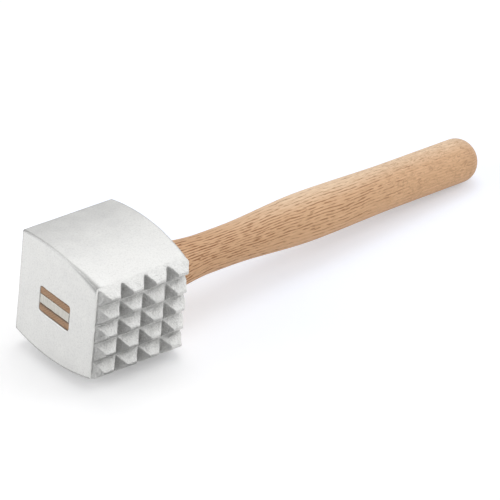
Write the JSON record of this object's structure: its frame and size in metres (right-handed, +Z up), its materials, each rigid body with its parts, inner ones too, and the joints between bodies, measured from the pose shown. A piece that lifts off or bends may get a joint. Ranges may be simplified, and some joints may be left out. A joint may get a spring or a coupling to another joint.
{
  "type": "meat tenderizer",
  "caption": "Meat tenderizer mallet: cast aluminium head with a toothed and a smooth striking face, wedged on a turned wooden handle.",
  "frame": {"origin": "under the middle of the tool's box, level with the lowest line of the head's arched underside", "axes": "+X along the handle to the butt, +Y out of the smooth striking face, the toothed face looks to -Y, +Z up"},
  "size_m": [0.305, 0.0706, 0.067],
  "materials": {
    "cast_aluminium": "as cast, tumbled to a pale even grey with a fine grain",
    "oak": "turned and sanded, open pores, no varnish",
    "wedge_metal": "sawn strip, driven in and ground off"
  },
  "bodies": {
    "root": {"head": "cast_aluminium", "handle": "oak", "wedge": "wedge_metal"}
  },
  "joints": []
}
